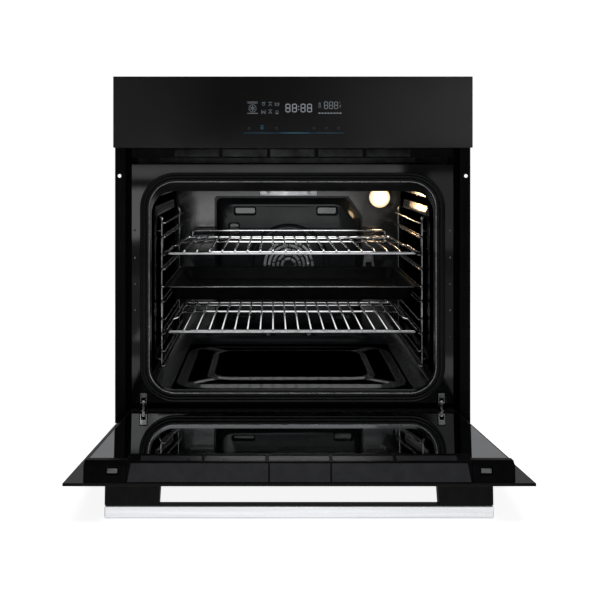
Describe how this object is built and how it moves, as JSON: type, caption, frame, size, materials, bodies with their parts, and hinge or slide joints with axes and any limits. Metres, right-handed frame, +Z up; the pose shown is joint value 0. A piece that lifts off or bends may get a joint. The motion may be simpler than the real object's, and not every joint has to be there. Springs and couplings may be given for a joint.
{
  "type": "built-in wall oven",
  "caption": "Built-in electric wall oven with a touch control panel, drop-down glass door, bar handle, wire racks, tray and a fan-assisted cavity.",
  "frame": {"origin": "middle of the width, on the face line of the cabinet, in the plane of the base that stands on the niche floor", "axes": "+X to the right seen from the front, +Y into the cabinet, +Z up"},
  "size_m": [0.595, 0.9896, 0.595],
  "materials": {
    "front_glass": "gloss",
    "inner_glass": "gloss",
    "enamel": "gloss",
    "cover_enamel": "gloss",
    "flange_paint": "satin",
    "zinc_sheet": "satin",
    "chrome_wire": "polished",
    "hinge_steel": "polished",
    "screw_steel": "satin",
    "handle_metal": "brushed",
    "black_plastic": "satin",
    "trim_plastic": "satin",
    "seal_rubber": "matte",
    "element_sheath": "satin",
    "wool": "matte",
    "motor_iron": "satin",
    "fan_metal": "satin",
    "lamp_ceramic": "matte",
    "lamp_glow": "gloss",
    "board": "gloss",
    "display": "gloss"
  },
  "bodies": {
    "oven": {"control_panel_glass": "front_glass", "front_frame": "enamel", "cavity_wrap": "enamel", "cavity_rear_wall": "enamel", "fan_cover": "cover_enamel", "mounting_flange_left": "flange_paint", "mounting_flange_right": "flange_paint", "base_plate": "zinc_sheet", "side_panel_left": "zinc_sheet", "side_panel_right": "zinc_sheet", "top_cover": "zinc_sheet", "rear_panel": "zinc_sheet", "air_deck": "zinc_sheet", "upper_deck": "zinc_sheet", "motor_bracket": "zinc_sheet", "blower_housing": "zinc_sheet", "hinge_receivers": "zinc_sheet", "ladder_left": "chrome_wire", "ladder_right": "chrome_wire", "hinge_claw_left": "hinge_steel", "hinge_claw_right": "hinge_steel", "temperature_probe": "hinge_steel", "case_screws": "screw_steel", "fan_cover_screws": "screw_steel", "panel_carrier": "black_plastic", "vent_grille": "black_plastic", "cable_gland": "black_plastic", "door_gasket": "seal_rubber", "grill_element": "element_sheath", "bottom_element": "element_sheath", "ring_element": "element_sheath", "insulation": "wool", "fan_motor": "motor_iron", "blower_motor": "motor_iron", "lamp_holder": "lamp_ceramic", "terminal_block": "lamp_ceramic", "lamp_glass": "lamp_glow", "lamp_bulb": "lamp_glow", "power_board": "board", "display_board": "board", "display_module": "display"},
    "door": {"door_outer_glass": "front_glass", "door_middle_glass": "inner_glass", "door_inner_glass": "inner_glass", "door_profile_left": "flange_paint", "door_profile_right": "flange_paint", "door_bottom_rail": "black_plastic", "door_top_trim": "trim_plastic", "door_end_caps": "trim_plastic", "hinge_springs": "hinge_steel", "handle_bar": "handle_metal", "handle_standoffs": "black_plastic", "handle_screws": "screw_steel"},
    "hinge_lever_l": {"hinge_lever_left": "hinge_steel"},
    "hinge_lever_r": {"hinge_lever_right": "hinge_steel"},
    "upper_rack": {"rack_upper": "chrome_wire"},
    "lower_rack": {"rack_lower": "chrome_wire"},
    "tray": {"baking_tray": "enamel"},
    "convection_fan": {"convection_impeller": "fan_metal"},
    "cooling_fan": {"blower_impeller": "fan_metal"}
  },
  "joints": [
    {"name": "door_hinge", "type": "hinge", "parent": "oven", "child": "door", "pos_m": [0, 0, 0.032], "axis": [-1, 0, 0], "range_deg": [0, 85]},
    {"name": "left_hinge_lock", "type": "hinge", "parent": "oven", "child": "hinge_lever_l", "pos_m": [-0.251, 0.014, 0.047], "axis": [-1, 0, 0], "range_deg": [-80, 0]},
    {"name": "right_hinge_lock", "type": "hinge", "parent": "oven", "child": "hinge_lever_r", "pos_m": [0.251, 0.014, 0.047], "axis": [-1, 0, 0], "range_deg": [-80, 0]},
    {"name": "upper_rack_slide", "type": "slide", "parent": "oven", "child": "upper_rack", "axis": [0, 1, 0], "range_m": [-0.24, 0]},
    {"name": "lower_rack_slide", "type": "slide", "parent": "oven", "child": "lower_rack", "axis": [0, 1, 0], "range_m": [-0.24, 0]},
    {"name": "tray_slide", "type": "slide", "parent": "oven", "child": "tray", "axis": [0, 1, 0], "range_m": [-0.24, 0]},
    {"name": "convection_fan_spin", "type": "hinge", "parent": "oven", "child": "convection_fan", "pos_m": [0, 0.46, 0.234], "axis": [0, 1, 0], "continuous": true},
    {"name": "cooling_fan_spin", "type": "hinge", "parent": "oven", "child": "cooling_fan", "pos_m": [0, 0.36, 0.5252], "axis": [1, 0, 0], "continuous": true}
  ]
}
